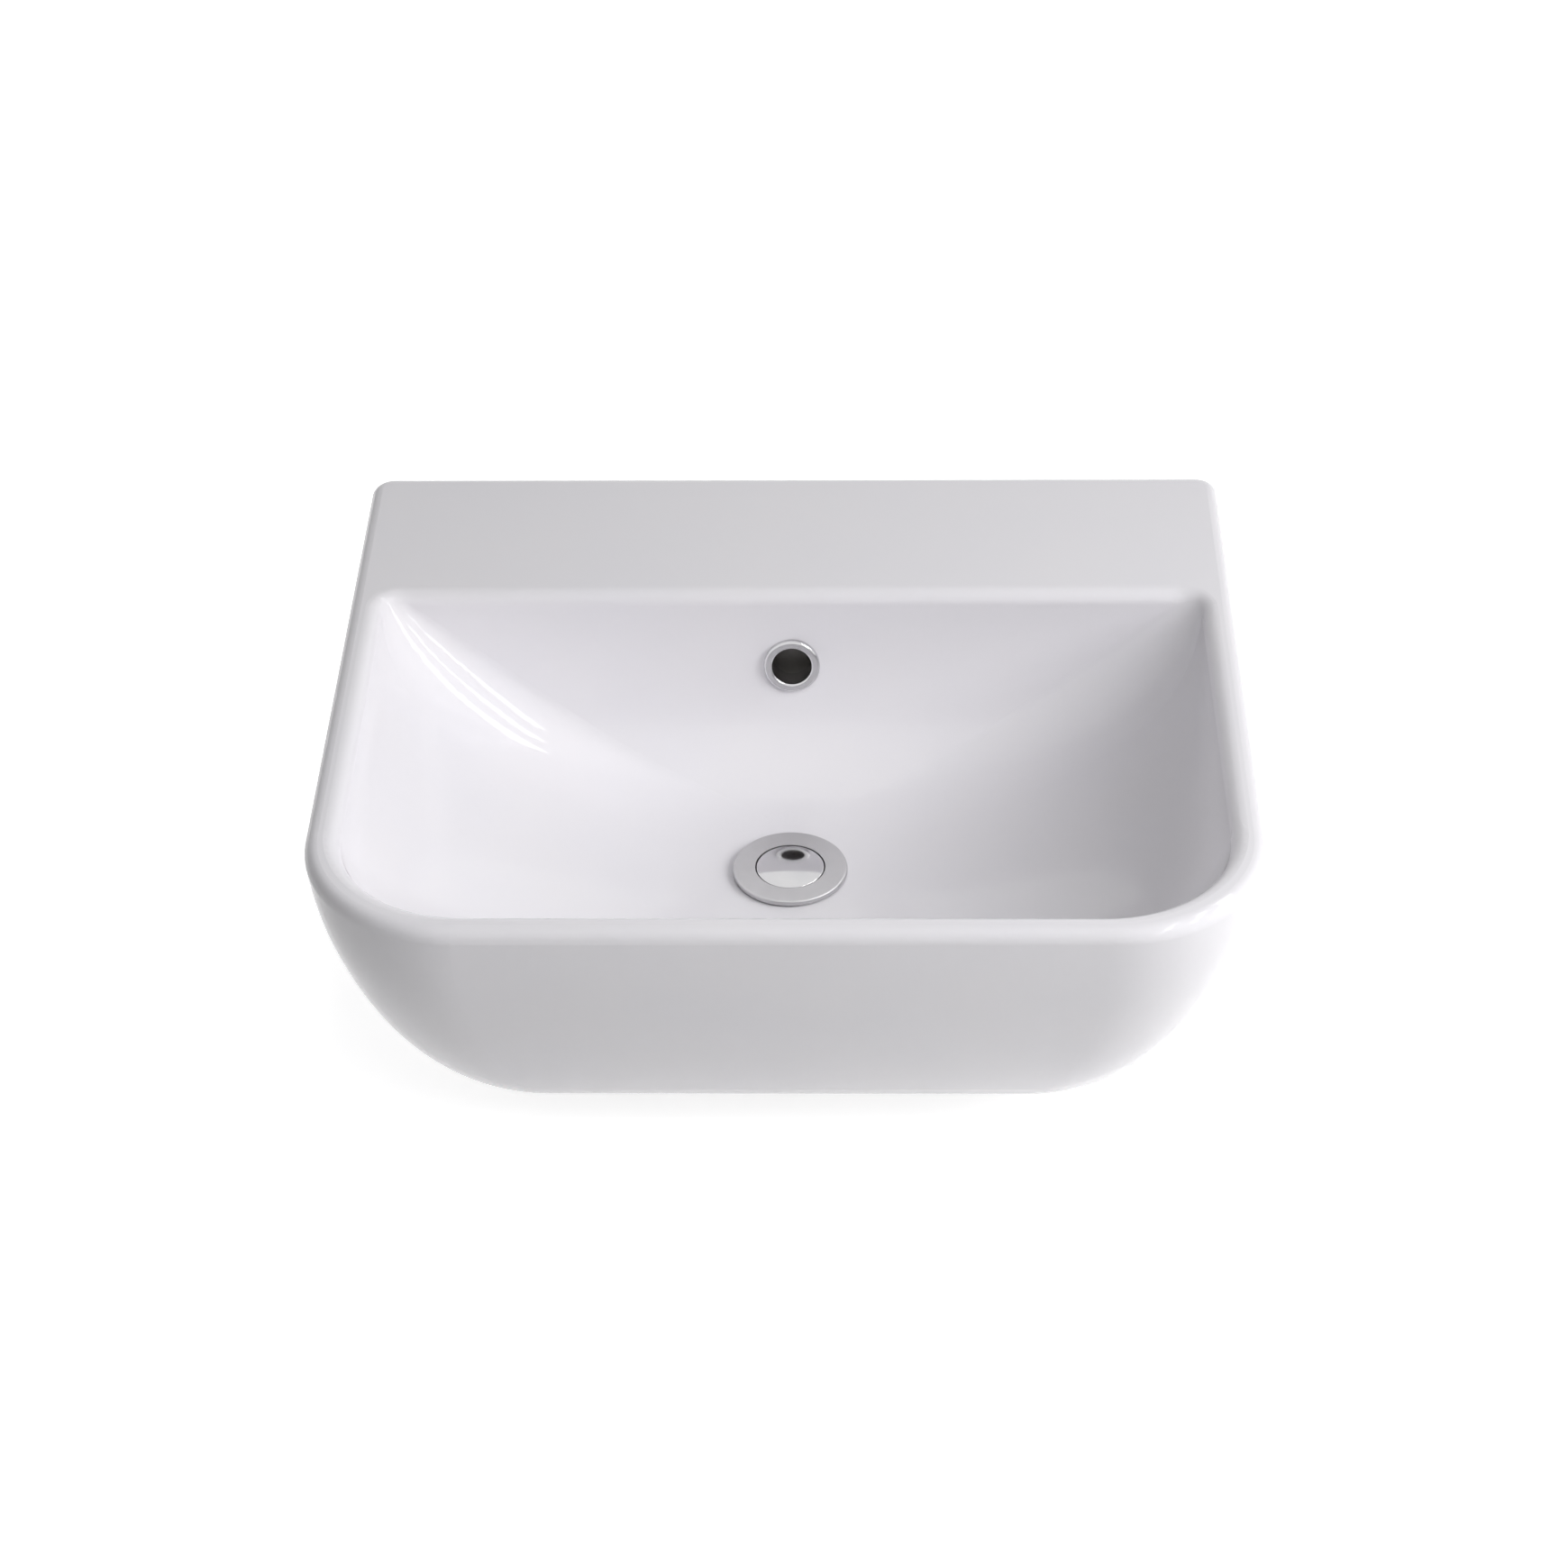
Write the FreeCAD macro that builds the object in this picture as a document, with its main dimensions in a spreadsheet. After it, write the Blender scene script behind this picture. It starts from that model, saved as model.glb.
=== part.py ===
import FreeCAD, Part

import math
import os
from types import SimpleNamespace

import Sketcher
from FreeCAD import Placement, Rotation, Vector

# A semi-recessed ceramic basin with its overflow ring and click-clack waste, in millimetres.
# The origin is where the wall, the top of the worktop and the basin's middle plane meet:
# +X to the right, +Y into the wall, +Z up. The waste is closed.

SIZES = {
    # ceramic, outside
    "basin_width": 500,
    "basin_depth": 430,
    "basin_height": 160,
    "rim_above_worktop": 55,
    "rim_width": 18,
    "rim_outer_round": 7,
    "rim_inner_round": 9,
    "front_corner_radius": 83,
    "back_corner_radius": 13,
    "back_grinding": 0.6,
    "tub_taper": 41,
    "base_setback": 65,
    "base_corner_radius": 63,
    "side_fullness": 1.5,
    "front_fullness": 1.59,
    # seat in the worktop
    "cutout_width": 444,
    "rear_seat": 20,
    "shoulder_from_wall": 240,
    "shoulder_round": 3,
    "base_from_wall": 85,
    # shell
    "rim_thickness": 22,
    "skirt_wall": 9,
    "bowl_wall": 8,
    "hollow_corner_radius": 20,
    # bowl
    "ledge_depth": 124,
    "floor_above_base": 48,
    "bowl_side_fullness": 1.78,
    "bowl_back_fullness": 3,
    "bowl_front_fullness": 1.9,
    "bowl_back_lean": 0.07,
    "bowl_front_corner": 67,
    "bowl_back_corner": 6,
    "valley_swell": 26,
    "drain_flat": 80,
    "drain_flat_corner": 32,
    # outlet and overflow passage
    "outlet_from_wall": 237,
    "outlet_bore": 45,
    "outlet_boss": 78,
    "boss_above_base": 7,
    "overflow_drop": 46,
    "overflow_tilt": 9,
    "overflow_bore": 27,
    "overflow_seat": 33.2,
    "passage_width": 32,
    "passage_gap": 12,
    "passage_bend": 55,
    "duct_wall": 7,
    "duct_from_ledge_edge": 12,
    # overflow ring
    "ring_diameter": 32,
    "ring_hole": 22,
    "ring_thickness": 3.6,
    "ring_round": 1.6,
    "sleeve_wall": 0.9,
    "sleeve_length": 11,
    "grip_length": 7,
    # waste body
    "flange_diameter": 64,
    "flange_thickness": 2.6,
    "flange_round": 1.2,
    "gasket_diameter": 60,
    "gasket_thickness": 1.5,
    "tail_diameter": 41.9,
    "tail_below_nut": 22.5,
    "tail_chamfer": 1,
    "relief_height": 2,
    "relief_depth": 0.8,
    "throat_diameter": 34.4,
    "well_depth": 11.2,
    "slot_width": 18,
    "slot_height": 11,
    "spider_drop": 33,
    "spider_height": 6,
    "spider_arm": 4,
    "hub_diameter": 24,
    # plug
    "plug_diameter": 38,
    "plug_height": 8.5,
    "plug_crown": 0.8,
    "plug_round": 0.7,
    "plug_skin": 2.6,
    "plug_lip": 2,
    "seal_section": 2.4,
    "plug_boss_diameter": 11,
    # plunger and cartridge
    "open_lift": 9,
    "latch_overtravel": 2,
    "stem_thread": 6,
    "stem_diameter": 6.8,
    "jam_nut_height": 3,
    "jam_nut_width": 10,
    "cartridge_drop": 12,
    "cap_head_height": 3,
    "cap_head_diameter": 19,
    "gland_length": 6.5,
    "wiper_section": 2,
    "drum_diameter": 10,
    "drum_length": 17.5,
    "drum_drop": 28,
    "track_radius": 1.95,
    "ball_diameter": 1.9,
    "follower_height": 5,
    "follower_wall": 1.6,
    "barrel_diameter": 18,
    "barrel_collar": 23,
    "barrel_collar_height": 2.4,
    "barrel_bottom": 72,
    "end_plug_height": 6,
    "end_plug_head": 2,
    "spring_wire": 0.7,
    "spring_diameter": 7.6,
    "spring_turns": 7,
    "locknut_width": 25,
    "locknut_height": 5,
    # seals and nut under the ceramic
    "tail_seal_diameter": 62,
    "tail_seal_height": 5,
    "tail_seal_neck": 3,
    "slip_washer_diameter": 58,
    "slip_washer_height": 1.5,
    "backnut_width": 56,
    "backnut_height": 10,
    # fits
    "running_gap": 0.3,
    "thread_gap": 0.1,
    "seat_gap": 0.05,
}

doc = FreeCAD.newDocument("basin")
sheet = doc.addObject("Spreadsheet::Sheet", "Sizes")
for row, (alias, number) in enumerate(SIZES.items(), 1):
    sheet.set(f"A{row}", alias.replace("_", " "))
    sheet.set(f"B{row}", str(number))
    sheet.setAlias(f"B{row}", alias)
doc.recompute()


class Size:
    """A number from the sheet, or one worked out from such numbers, with its expression."""

    def __init__(self, value, text):
        self.value = value
        self.text = text

    def __add__(self, other):
        other = as_size(other)
        return Size(self.value + other.value, f"({self.text} + {other.text})")

    def __sub__(self, other):
        other = as_size(other)
        return Size(self.value - other.value, f"({self.text} - {other.text})")

    def __mul__(self, other):
        other = as_size(other)
        return Size(self.value * other.value, f"({self.text} * {other.text})")

    def __truediv__(self, other):
        other = as_size(other)
        return Size(self.value / other.value, f"({self.text} / {other.text})")

    def __pow__(self, other):
        other = as_size(other)
        return Size(self.value ** other.value, f"({self.text} ^ {other.text})")

    def __radd__(self, other):
        return as_size(other) + self

    def __rsub__(self, other):
        return as_size(other) - self

    def __rmul__(self, other):
        return as_size(other) * self

    def __rtruediv__(self, other):
        return as_size(other) / self

    def __neg__(self):
        return 0 - self


def as_size(number):
    return number if isinstance(number, Size) else Size(number, f"({number})")


size = SimpleNamespace(**{alias: Size(sheet.get(alias), f"Sizes.{alias}") for alias in SIZES})


def bind(item, path, length):
    item.setExpression(path, as_size(length).text)


# Bodies, sketches and features

def new_body(label, y=0, z=0, tilt=None, turn=None):
    """An empty body placed in the middle plane, tilted back about X or turned about Z."""
    body = doc.addObject("PartDesign::Body", label)
    body.Label = label
    if tilt is not None:
        body.Placement = Placement(Vector(), Rotation(Vector(1, 0, 0), tilt.value))
        bind(body, "Placement.Rotation.Angle", tilt)
    if turn is not None:
        body.Placement = Placement(Vector(), Rotation(Vector(0, 0, 1), turn.value))
        bind(body, "Placement.Rotation.Angle", turn)
    bind(body, "Placement.Base.y", y)
    bind(body, "Placement.Base.z", z)
    return body


def new_sketch(body, name, role, offset=0):
    plane = next(item for item in body.Origin.OriginFeatures if item.Role == role)
    sketch = body.newObject("Sketcher::SketchObject", name)
    sketch.AttachmentSupport = [(plane, "")]
    sketch.MapMode = "FlatFace"
    bind(sketch, "AttachmentOffset.Base.z", offset)
    return sketch


def constrain(sketch, length, kind, *points):
    length = as_size(length)
    index = sketch.addConstraint(Sketcher.Constraint(kind, *points, length.value))
    bind(sketch, f"Constraints[{index}]", length)


def place_along(sketch, geometry, point, kind, axis, length):
    length = as_size(length)
    if length.value == 0:
        sketch.addConstraint(Sketcher.Constraint("PointOnObject", geometry, point, axis))
    elif length.value > 0:
        constrain(sketch, length, kind, -1, 1, geometry, point)
    else:
        constrain(sketch, -length, kind, geometry, point, -1, 1)


def place_point(sketch, geometry, point, x, y):
    place_along(sketch, geometry, point, "DistanceX", -2, x)
    place_along(sketch, geometry, point, "DistanceY", -1, y)


def draw_polygon(sketch, corners):
    """A closed outline of straight sides."""
    first = sketch.GeometryCount
    count = len(corners)
    points = [Vector(as_size(x).value, as_size(y).value, 0) for x, y in corners]
    for index in range(count):
        sketch.addGeometry(Part.LineSegment(points[index], points[(index + 1) % count]))
    for index in range(count):
        following = first + (index + 1) % count
        sketch.addConstraint(Sketcher.Constraint("Coincident", first + index, 2, following, 1))
    for index, (x, y) in enumerate(corners):
        place_point(sketch, first + index, 1, x, y)


def draw_circle(sketch, radius, x=0, y=0):
    radius = as_size(radius)
    centre = Vector(as_size(x).value, as_size(y).value, 0)
    index = sketch.addGeometry(Part.Circle(centre, Vector(0, 0, 1), radius.value))
    place_point(sketch, index, 3, x, y)
    constrain(sketch, radius, "Radius", index)


def draw_outline(sketch, half_width, back, front, back_radius, front_radius):
    """A rounded rectangle, even about the Y axis, with its own corner radii at back and front."""
    half, rear, fore = half_width.value, back.value, front.value
    back_round, front_round = back_radius.value, front_radius.value

    def side(x1, y1, x2, y2):
        return Part.LineSegment(Vector(x1, y1, 0), Vector(x2, y2, 0))

    def corner(x, y, radius, start):
        whole = Part.Circle(Vector(x, y, 0), Vector(0, 0, 1), radius)
        return Part.ArcOfCircle(whole, math.radians(start), math.radians(start + 90))

    sketch.addGeometry([
        side(half, fore + front_round, half, rear - back_round),
        corner(half - back_round, rear - back_round, back_round, 0),
        side(half - back_round, rear, back_round - half, rear),
        corner(back_round - half, rear - back_round, back_round, 90),
        side(-half, rear - back_round, -half, fore + front_round),
        corner(front_round - half, fore + front_round, front_round, 180),
        side(front_round - half, fore, half - front_round, fore),
        corner(half - front_round, fore + front_round, front_round, 270),
    ])
    for index, direction in ((0, "Vertical"), (2, "Horizontal"), (4, "Vertical"), (6, "Horizontal")):
        sketch.addConstraint(Sketcher.Constraint(direction, index))
    for index in range(8):
        sketch.addConstraint(Sketcher.Constraint("Tangent", index, 2, (index + 1) % 8, 1))
    sketch.addConstraint(Sketcher.Constraint("Equal", 1, 3))
    sketch.addConstraint(Sketcher.Constraint("Equal", 5, 7))
    constrain(sketch, half_width, "DistanceX", -1, 1, 0, 1)
    constrain(sketch, 2 * half_width, "DistanceX", 4, 1, 0, 2)
    place_along(sketch, 2, 1, "DistanceY", -1, back)
    place_along(sketch, 6, 1, "DistanceY", -1, front)
    constrain(sketch, back_radius, "Radius", 1)
    constrain(sketch, front_radius, "Radius", 5)


def new_feature(body, kind, name, sketch):
    feature = body.newObject(f"PartDesign::{kind}", name)
    feature.Profile = sketch
    return feature


def loft(body, kind, name, outlines):
    """A loft through outlines, each its height followed by the sizes of draw_outline."""
    sections = []
    for index, (height, *outline) in enumerate(outlines):
        sketch = new_sketch(body, f"{name}_{index}", "XY_Plane", height)
        draw_outline(sketch, *outline)
        sections.append(sketch)
    feature = new_feature(body, kind, name, sections[0])
    feature.Sections = sections[1:]
    return feature


def revolve(body, name, corners, kind="Revolution"):
    """A profile of radius and height turned about the body's Z axis."""
    sketch = new_sketch(body, f"{name}_profile", "XZ_Plane")
    draw_polygon(sketch, corners)
    feature = new_feature(body, kind, name, sketch)
    feature.ReferenceAxis = (sketch, ["V_Axis"])
    feature.Angle = 360
    return feature


def extrude(body, kind, name, sketch, length, reverse=False, midplane=False):
    feature = new_feature(body, kind, name, sketch)
    bind(feature, "Length", length)
    feature.Reversed = reverse
    feature.Midplane = midplane
    return feature


def repeat_round(body, name, features, count):
    """Copies of some features in a ring about the body's Z axis."""
    axis = next(item for item in body.Origin.OriginFeatures if item.Role == "Z_Axis")
    pattern = body.newObject("PartDesign::PolarPattern", name)
    pattern.Originals = features
    pattern.Axis = (axis, [""])
    pattern.Angle = 360
    pattern.Occurrences = count
    body.Tip = pattern


def round_edges(body, name, radius, wanted):
    """A fillet on the edges of the body so far that wanted picks, if there are any."""
    doc.recompute()
    base = body.Tip
    names = [f"Edge{number}" for number, edge in enumerate(base.Shape.Edges, 1) if wanted(edge)]
    if not names:
        return
    fillet = body.newObject("PartDesign::Fillet", name)
    fillet.Base = (base, names)
    bind(fillet, "Radius", radius)


def level_edge(height):
    """Picks edges that lie flat at a height."""
    level = as_size(height).value
    return lambda edge: edge.BoundBox.ZLength < 1e-4 and abs(edge.BoundBox.ZMax - level) < 1e-4


def ring_edge(radius, height):
    """Picks the circle of a radius about the Z axis at a height."""
    level = level_edge(height)
    wide = 2 * as_size(radius).value
    return lambda edge: level(edge) and abs(edge.BoundBox.XLength - wide) < 1e-3


def closing(share, fullness):
    """How much of a wall's flare is left at a share of its depth: 1 at the top, 0 at the bottom."""
    return (1 - as_size(share) ** fullness) ** (1 / fullness)


# Levels and places that several pieces share

base_drop = size.basin_height - size.rim_above_worktop
base_width = size.cutout_width - 2 * size.tub_taper
bowl_depth = size.basin_height - size.floor_above_base
floor_level = size.rim_above_worktop - bowl_depth
boss_bottom = size.boss_above_base - base_drop
boss_drop = floor_level - boss_bottom
flange_top = size.gasket_thickness + size.flange_thickness
passage_level = floor_level - size.spider_drop + size.slot_height
well_radius = size.plug_diameter / 2 + 2 * size.running_gap
tail_radius = size.tail_diameter / 2
tail_seal_bottom = -boss_drop - size.tail_seal_height
slip_washer_bottom = tail_seal_bottom - size.slip_washer_height
backnut_bottom = slip_washer_bottom - size.backnut_height
tail_bottom = backnut_bottom - size.tail_below_nut


# Ceramic

def skirt_outline(share, flare_width, inset, back, back_radius):
    """The basin's outer form at a share of its height below the rim, or that form set in."""
    flare = (flare_width - base_width) / 2 * closing(share, size.side_fullness)
    bulge = size.base_setback * closing(share, size.front_fullness)
    corner = size.base_corner_radius + (size.front_corner_radius - size.base_corner_radius) * (1 - share)
    return (
        size.rim_above_worktop - size.basin_height * share,
        base_width / 2 + flare - inset,
        back,
        size.base_setback - size.basin_depth - bulge + inset,
        back_radius,
        corner - inset,
    )


def rear_wall(level):
    """How far the sloping rear wall of the tub is from the wall at a level."""
    return size.rear_seat + (size.base_from_wall - size.rear_seat) * (-level) / base_drop


def hollow_outline(share):
    level = size.rim_above_worktop - size.basin_height * share
    back = -rear_wall(level) - size.skirt_wall
    return skirt_outline(share, size.cutout_width, size.skirt_wall, back, size.hollow_corner_radius)


def bowl_back(share, wall=0):
    """Where the bowl's back wall is at a share of the bowl's depth."""
    floor_edge = size.outlet_from_wall - size.drain_flat / 2 - wall
    lean = size.bowl_back_lean * bowl_depth * share
    reach = (floor_edge - size.ledge_depth + wall - lean) * closing(share, size.bowl_back_fullness)
    return reach - floor_edge


def bowl_outline(share, wall=0):
    """The bowl at a share of its depth, or the outside of its wall."""
    floor_half = size.drain_flat / 2 + wall
    top_half = size.basin_width / 2 - size.rim_width + wall
    front_edge = size.outlet_from_wall + floor_half
    front_reach = size.basin_depth - size.rim_width + wall - front_edge
    swell = 4 * size.valley_swell * share * (1 - share)
    floor_corner = size.drain_flat_corner * share + wall
    back_corner = size.bowl_back_corner * (1 - share) + floor_corner + swell
    front_corner = size.bowl_front_corner * (1 - share) + floor_corner + swell * 2 / 3
    return (
        size.rim_above_worktop - (bowl_depth + wall) * share,
        floor_half + (top_half - floor_half) * closing(share, size.bowl_side_fullness),
        bowl_back(share, wall),
        -front_edge - front_reach * closing(share, size.bowl_front_fullness),
        back_corner,
        front_corner,
    )


def duct_spine(body, name, top, end):
    """The overflow's path: down behind the bowl, round a bend and forward to the outlet."""
    back = -size.ledge_depth + size.duct_from_ledge_edge
    bend = size.passage_bend
    sketch = new_sketch(body, name, "YZ_Plane")
    start = Vector(back.value, top.value, 0)
    bend_start = Vector(back.value, (passage_level + bend).value, 0)
    bend_end = Vector((back - bend).value, passage_level.value, 0)
    finish = Vector(end.value, passage_level.value, 0)
    centre = Vector(bend_end.x, bend_start.y, 0)
    quarter = Part.ArcOfCircle(Part.Circle(centre, Vector(0, 0, 1), bend.value), 1.5 * math.pi, 2 * math.pi)
    sketch.addGeometry([Part.LineSegment(start, bend_start), quarter, Part.LineSegment(bend_end, finish)])
    sketch.addConstraint(Sketcher.Constraint("Vertical", 0))
    sketch.addConstraint(Sketcher.Constraint("Tangent", 0, 2, 1, 2))
    sketch.addConstraint(Sketcher.Constraint("Tangent", 1, 1, 2, 1))
    sketch.addConstraint(Sketcher.Constraint("Horizontal", 2))
    place_point(sketch, 0, 1, back, top)
    place_point(sketch, 2, 2, end, passage_level)
    constrain(sketch, bend, "Radius", 1)
    return sketch


def run_duct(body, kind, name, top, end, wall):
    """The overflow passage, or the duct around it."""
    spine = duct_spine(body, f"{name}_path", top, end)
    section = new_sketch(body, f"{name}_section", "XY_Plane", top)
    middle = -size.ledge_depth + size.duct_from_ledge_edge
    half_gap = size.passage_gap / 2 + wall
    corner = size.passage_gap / 3 + wall / 2
    draw_outline(section, size.passage_width / 2 + wall, middle + half_gap, middle - half_gap, corner, corner)
    pipe = new_feature(body, kind, name, section)
    pipe.Spine = (spine, ["Edge1", "Edge2", "Edge3"])


def build_basin():
    body = new_body("basin_body")
    loft(body, "AdditiveLoft", "outer_form",
         [skirt_outline(share, size.basin_width, 0, size.back_grinding, size.back_corner_radius)
          for share in (0, 0.2, 0.4, 0.58, 0.74, 0.87, 0.96, 1)])
    round_edges(body, "rim_outer_edge", size.rim_outer_round, level_edge(size.rim_above_worktop))
    ground = new_sketch(body, "ground_back_outline", "XZ_Plane")
    draw_polygon(ground, [(-size.basin_width, -size.basin_height), (size.basin_width, -size.basin_height),
                          (size.basin_width, size.basin_height), (-size.basin_width, size.basin_height)])
    extrude(body, "Pocket", "ground_back", ground, size.rear_seat)

    # The rear two thirds sit in a cut-out, so sides and back step in below the worktop.
    beyond = size.rear_seat
    sides = new_sketch(body, "side_steps_outline", "XY_Plane")
    for hand in (1, -1):
        inner = hand * size.cutout_width / 2
        outer = hand * (size.basin_width / 2 + beyond)
        draw_polygon(sides, [(inner, beyond), (outer, beyond), (outer, -size.shoulder_from_wall),
                             (inner, -size.shoulder_from_wall)])
    extrude(body, "Pocket", "side_steps", sides, size.basin_height)
    below = 1.2
    rear = new_sketch(body, "rear_slope_outline", "YZ_Plane")
    lowest = -below * base_drop
    draw_polygon(rear, [(beyond, 0), (-size.rear_seat, 0), (-rear_wall(lowest), lowest), (beyond, lowest)])
    extrude(body, "Pocket", "rear_slope", rear, 2 * size.basin_width, midplane=True)
    round_edges(body, "shoulder_edges", size.shoulder_round, shoulder_edge)

    # The skirt is hollow from below, and the bowl, its boss and the overflow duct hang in it.
    ceiling = size.rim_thickness / size.basin_height
    loft(body, "SubtractiveLoft", "hollow",
         [hollow_outline(share) for share in (ceiling, 0.45, 0.7, 0.88, 1)])
    overflow_share = size.overflow_drop / bowl_depth
    loft(body, "AdditiveLoft", "bowl_wall",
         [bowl_outline(share, size.bowl_wall) for share in (0.1, overflow_share, 0.62, 0.78, 0.89, 0.96, 1)])
    boss = new_sketch(body, "boss_outline", "XY_Plane", floor_level - size.bowl_wall / 2)
    draw_circle(boss, size.outlet_boss / 2, y=-size.outlet_from_wall)
    extrude(body, "Pad", "outlet_boss", boss, boss_drop - size.bowl_wall / 2, reverse=True)
    duct_top = size.rim_above_worktop - size.rim_thickness / 2
    run_duct(body, "AdditivePipe", "overflow_duct", duct_top, size.outlet_boss / 4 - size.outlet_from_wall,
             size.duct_wall)
    loft(body, "SubtractiveLoft", "bowl",
         [bowl_outline(share) for share in (0, 0.2, overflow_share, 0.62, 0.78, 0.89, 0.96, 0.99, 1)])

    # Outlet, overflow passage and the overflow hole with its flat seat.
    outlet = new_sketch(body, "outlet_outline", "XY_Plane", floor_level)
    draw_circle(outlet, size.outlet_bore / 2, y=-size.outlet_from_wall)
    extrude(body, "Pocket", "outlet", outlet, size.basin_height)
    passage_top = size.rim_above_worktop - size.overflow_drop + size.overflow_bore / 2
    run_duct(body, "SubtractivePipe", "overflow_passage", passage_top,
             size.outlet_bore / 4 - size.outlet_from_wall, as_size(0))
    hole_depth = -bowl_back(overflow_share) - size.ledge_depth + size.duct_from_ledge_edge
    for name, diameter, depth, towards_bowl in (("overflow_hole", size.overflow_bore, hole_depth, False),
                                                ("overflow_flat", size.overflow_seat, size.rim_width, True)):
        sketch = new_sketch(body, f"{name}_outline", "XZ_Plane", -bowl_back(overflow_share))
        offset = sketch.AttachmentOffset
        sketch.AttachmentOffset = Placement(offset.Base, Rotation(Vector(-1, 0, 0), size.overflow_tilt.value))
        bind(sketch, "AttachmentOffset.Base.y", size.rim_above_worktop - size.overflow_drop)
        bind(sketch, "AttachmentOffset.Rotation.Angle", size.overflow_tilt)
        draw_circle(sketch, diameter / 2)
        extrude(body, "Pocket", name, sketch, depth, reverse=towards_bowl)
    round_edges(body, "rim_inner_edge", size.rim_inner_round, bowl_mouth)


def shoulder_edge(edge):
    """Picks the upright edges of the shoulders that stop at the worktop's front edge."""
    face = -size.shoulder_from_wall.value
    box = edge.BoundBox
    return max(abs(box.YMin - face), abs(box.YMax - face)) < 1e-4 and box.ZLength > 1


def bowl_mouth(edge):
    """Picks the bowl's edges in the rim's plane."""
    inside = size.basin_width / 2 - size.rim_outer_round
    box = edge.BoundBox
    in_rim = level_edge(size.rim_above_worktop)(edge)
    return in_rim and max(-box.XMin, box.XMax) < inside.value - 1 and box.YMax < -size.ledge_depth.value + 1


build_basin()


# Overflow ring

def overflow_body(label):
    """A body whose Z axis points out of the overflow hole into the bowl."""
    overflow_share = size.overflow_drop / bowl_depth
    return new_body(label, bowl_back(overflow_share), size.rim_above_worktop - size.overflow_drop,
                    tilt=90 - size.overflow_tilt)


def build_overflow():
    inner = size.ring_hole / 2
    outer = size.ring_diameter / 2
    sleeve = inner + size.sleeve_wall
    ring = overflow_body("overflow_ring")
    revolve(ring, "trim", [
        (inner, -size.sleeve_length), (sleeve, -size.sleeve_length), (sleeve, 0), (outer, 0),
        (outer, size.ring_thickness), (inner, size.ring_thickness)])
    for name, radius in (("outer_edge", outer), ("inner_edge", inner)):
        round_edges(ring, name, size.ring_round, ring_edge(radius, size.ring_thickness))
    seal = overflow_body("overflow_seal")
    grip = size.overflow_bore / 2 - size.seat_gap
    revolve(seal, "grip", [(sleeve + size.seat_gap, -size.seat_gap), (grip, -size.seat_gap),
                           (grip, -size.grip_length), (sleeve + size.seat_gap, -size.grip_length)])


build_overflow()


# Waste. Its pieces are drawn on the outlet's axis, with height 0 at the bowl's floor.

def waste_piece(label, turn=None):
    return new_body(label, -size.outlet_from_wall, floor_level, turn=turn)


def draw_hexagon(sketch, width):
    """A hexagon with two of its sides square to the X axis."""
    half = width / 2
    corner = half * (2 / math.sqrt(3))
    draw_polygon(sketch, [(half, corner / 2), (0, corner), (-half, corner / 2), (-half, -corner / 2),
                          (0, -corner), (half, -corner / 2)])


def hexagon_nut(label, top, height, width, bore, turn=None):
    body = waste_piece(label, turn)
    outline = new_sketch(body, "nut_outline", "XY_Plane", top)
    draw_hexagon(outline, width)
    draw_circle(outline, bore)
    extrude(body, "Pad", "nut", outline, height, reverse=True)
    # Both ends are turned to a cone, so the corners fall away.
    flat = width / 2
    fall = flat / math.sqrt(3)
    for name, level, way in (("top_cone", top, -1), ("bottom_cone", top - height, 1)):
        revolve(body, name, [(flat, level), (width, level), (width, level + way * fall)], "Groove")


def build_waste():
    throat = size.throat_diameter / 2
    flange = size.flange_diameter / 2
    well_bottom = flange_top - size.well_depth
    body = waste_piece("waste_body")
    relief_top = backnut_bottom - size.running_gap
    relief_radius = tail_radius - size.relief_depth
    revolve(body, "turned_body", [
        (well_radius, flange_top), (flange, flange_top), (flange, size.gasket_thickness),
        (tail_radius, size.gasket_thickness), (tail_radius, relief_top), (relief_radius, relief_top),
        (relief_radius, relief_top - size.relief_height), (tail_radius, relief_top - size.relief_height),
        (tail_radius, tail_bottom + size.tail_chamfer), (tail_radius - size.tail_chamfer, tail_bottom),
        (throat, tail_bottom), (throat, well_bottom - size.plug_lip), (well_radius, well_bottom)])
    round_edges(body, "flange_edge", size.flange_round, ring_edge(flange, flange_top))
    slot_middle = passage_level - floor_level
    slot = new_sketch(body, "slot_outline", "YZ_Plane")
    half_width = size.slot_width / 2
    half_height = size.slot_height / 2
    draw_polygon(slot, [(-half_width, slot_middle - half_height), (half_width, slot_middle - half_height),
                        (half_width, slot_middle + half_height), (-half_width, slot_middle + half_height)])
    cut = extrude(body, "Pocket", "slot", slot, 2 * size.tail_diameter, midplane=True)
    repeat_round(body, "slots", [cut], 4)
    hub_top = -size.spider_drop
    arm = new_sketch(body, "arm_outline", "XY_Plane", hub_top)
    draw_polygon(arm, [(0, -size.spider_arm / 2), (throat + size.seat_gap, -size.spider_arm / 2),
                       (throat + size.seat_gap, size.spider_arm / 2), (0, size.spider_arm / 2)])
    spoke = extrude(body, "Pad", "arm", arm, size.spider_height, reverse=True)
    repeat_round(body, "arms", [spoke], 3)
    hub = new_sketch(body, "hub_outline", "XY_Plane", hub_top)
    draw_circle(hub, size.hub_diameter / 2)
    extrude(body, "Pad", "hub", hub, size.spider_height, reverse=True)
    bore = new_sketch(body, "hub_bore_outline", "XY_Plane", hub_top)
    draw_circle(bore, size.barrel_diameter / 2 + size.thread_gap)
    extrude(body, "Pocket", "hub_bore", bore, size.spider_height)

    gasket = waste_piece("flange_gasket")
    revolve(gasket, "ring", [(tail_radius + size.seat_gap, 0), (size.gasket_diameter / 2, 0),
                             (size.gasket_diameter / 2, size.gasket_thickness),
                             (tail_radius + size.seat_gap, size.gasket_thickness)])


build_waste()


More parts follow.
